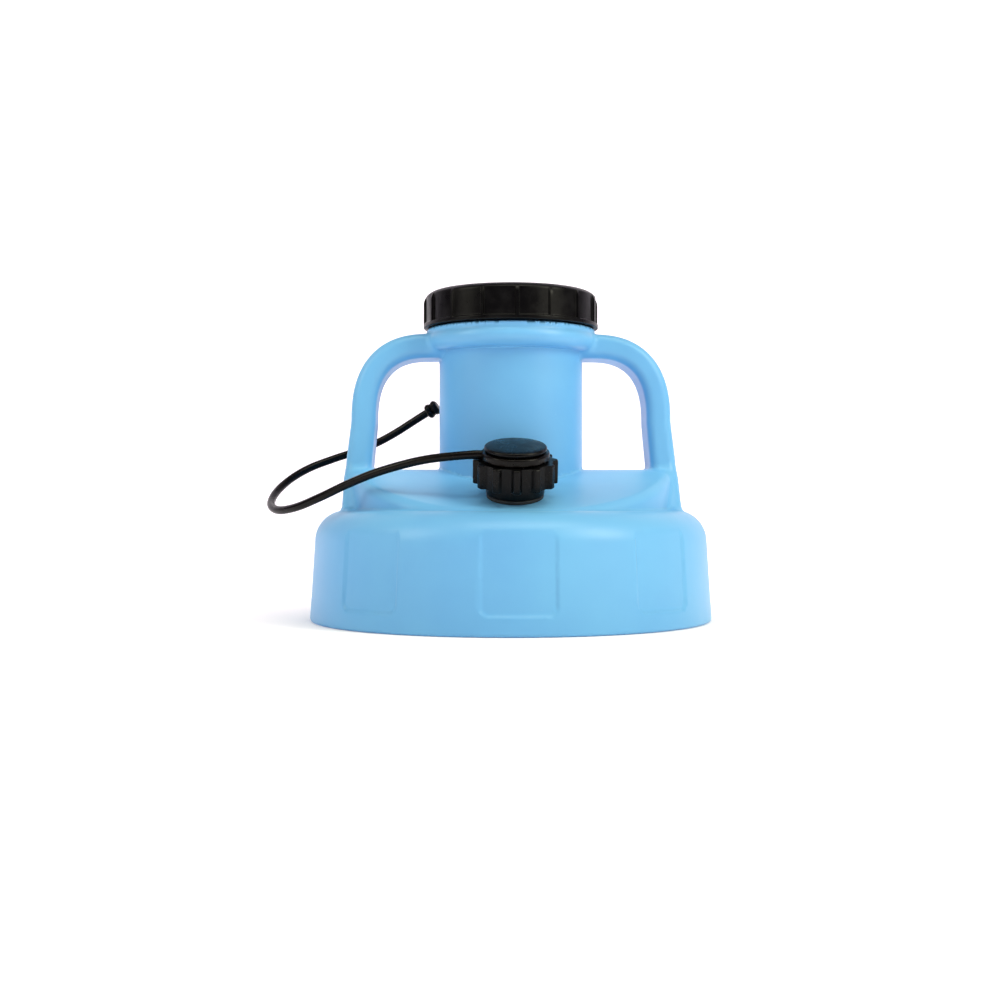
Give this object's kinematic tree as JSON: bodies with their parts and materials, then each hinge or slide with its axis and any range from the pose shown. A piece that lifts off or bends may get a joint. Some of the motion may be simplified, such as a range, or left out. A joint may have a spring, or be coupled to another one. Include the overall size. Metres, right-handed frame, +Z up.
{
  "type": "drum utility lid",
  "caption": "Screw-on plastic lid for a chemical drum, with a capped filling neck, two carrying handles and a small pouring port whose cap hangs on a tether.",
  "frame": {"origin": "centre of the skirt's bottom rim, on the surface that the lid stands on", "axes": "+Z up along the lid's and the neck's axis, -Y towards the pouring port, +X to the right handle seen from the port"},
  "size_m": [0.2224, 0.2, 0.1633],
  "materials": {
    "blue_plastic": "moulded polyethylene, satin",
    "black_plastic": "moulded, semi-gloss with a fine grain",
    "tether_plastic": "flexible moulded plastic, satin",
    "seal_rubber": "matte",
    "liner_foam": "matte foamed polyethylene"
  },
  "bodies": {
    "lid": {"lid_skirt": "blue_plastic", "lid_neck": "blue_plastic", "right_handle": "blue_plastic", "left_handle": "blue_plastic", "drum_gasket": "seal_rubber", "port_fitting": "black_plastic", "port_fitting_seal": "seal_rubber", "port_lock_nut": "black_plastic"},
    "main_cap_seal": {"main_cap_liner": "liner_foam"},
    "main_cap": {"main_cap": "black_plastic"},
    "port_cap_seal": {"port_cap_liner": "liner_foam"},
    "port_cap": {"port_cap": "black_plastic"},
    "tether": {"tether_ring": "tether_plastic", "tether_strap": "tether_plastic", "tether_end": "tether_plastic"}
  },
  "joints": [
    {"name": "main_cap_lift", "type": "slide", "parent": "lid", "child": "main_cap_seal", "axis": [0, 0, 1], "range_m": [0, 0.0126]},
    {"name": "main_cap_turn", "type": "hinge", "parent": "main_cap_seal", "child": "main_cap", "pos_m": [0, 0, 0.1533], "axis": [0, 0, 1], "range_deg": [0, 900]},
    {"name": "port_cap_lift", "type": "slide", "parent": "lid", "child": "port_cap_seal", "axis": [0, -0.3075, 0.9515], "range_m": [0, 0.0076]},
    {"name": "port_cap_turn", "type": "hinge", "parent": "port_cap_seal", "child": "port_cap", "pos_m": [0, -0.056, 0.06113], "axis": [0, -0.3075, 0.9515], "range_deg": [0, 900]},
    {"name": "tether_swing", "type": "hinge", "parent": "port_cap_seal", "child": "tether", "pos_m": [0, -0.056, 0.06113], "axis": [0, -0.3075, 0.9515], "range_deg": [-8, 8]}
  ],
  "couplings": [
    {"joint": "main_cap_lift", "follows": "main_cap_turn", "m_per_rad": 0.00079577},
    {"joint": "port_cap_lift", "follows": "port_cap_turn", "m_per_rad": 0.00047746}
  ]
}
